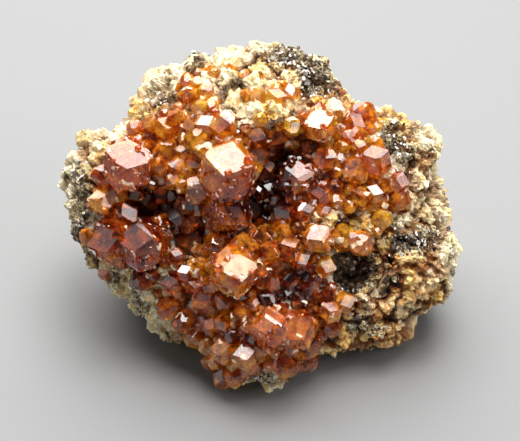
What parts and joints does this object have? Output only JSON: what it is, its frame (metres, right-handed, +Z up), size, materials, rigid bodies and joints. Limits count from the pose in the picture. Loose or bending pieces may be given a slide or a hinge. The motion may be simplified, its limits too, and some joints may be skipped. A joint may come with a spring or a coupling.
{
  "type": "mineral specimen",
  "caption": "Spessartine garnet druse: orange to red-brown garnet crystals lining the hollowed face of a granular feldspar and mica nodule.",
  "frame": {"origin": "middle of the specimen's footprint, on its flat underside", "axes": "+Z up as the specimen stands; the garnet face looks towards -Y and up; +X to the right of someone facing it"},
  "size_m": [0.0776, 0.065, 0.0494],
  "materials": {
    "rock": "rough granular feldspar, quartz and mica",
    "garnet": "natural crystal faces, vitreous, orange to red-brown"
  },
  "bodies": {
    "root": {"matrix": "rock", "garnet_centre_pair": "garnet", "garnet_upper_left": "garnet", "garnet_left_rim": "garnet", "garnet_lower_left_pair": "garnet", "garnet_front": "garnet", "garnet_front_twin": "garnet", "garnet_right_of_centre": "garnet", "garnet_shelf_right": "garnet", "garnet_glowing": "garnet", "garnet_square_facet": "garnet", "garnet_left_small": "garnet", "group_left_inner": "garnet", "group_upper_left": "garnet", "group_left_middle": "garnet", "group_ledge_left": "garnet", "group_ledge_right": "garnet", "group_upper_right": "garnet", "group_right": "garnet", "garnet_right_end": "garnet", "group_right_lower": "garnet", "group_middle": "garnet", "group_middle_right": "garnet", "garnet_cavity_edge": "garnet", "group_middle_lower": "garnet", "garnet_orange_right": "garnet", "garnet_round_front": "garnet", "garnet_dark_lower": "garnet", "group_left_of_front": "garnet", "garnet_bead": "garnet", "group_apron_left": "garnet", "group_toe_left": "garnet", "group_toe_right": "garnet", "group_lower_right": "garnet", "group_lower_left": "garnet", "garnet_small_red": "garnet", "garnet_low_left": "garnet", "garnet_yellow_left": "garnet", "group_top": "garnet", "group_top_left": "garnet"}
  },
  "joints": []
}
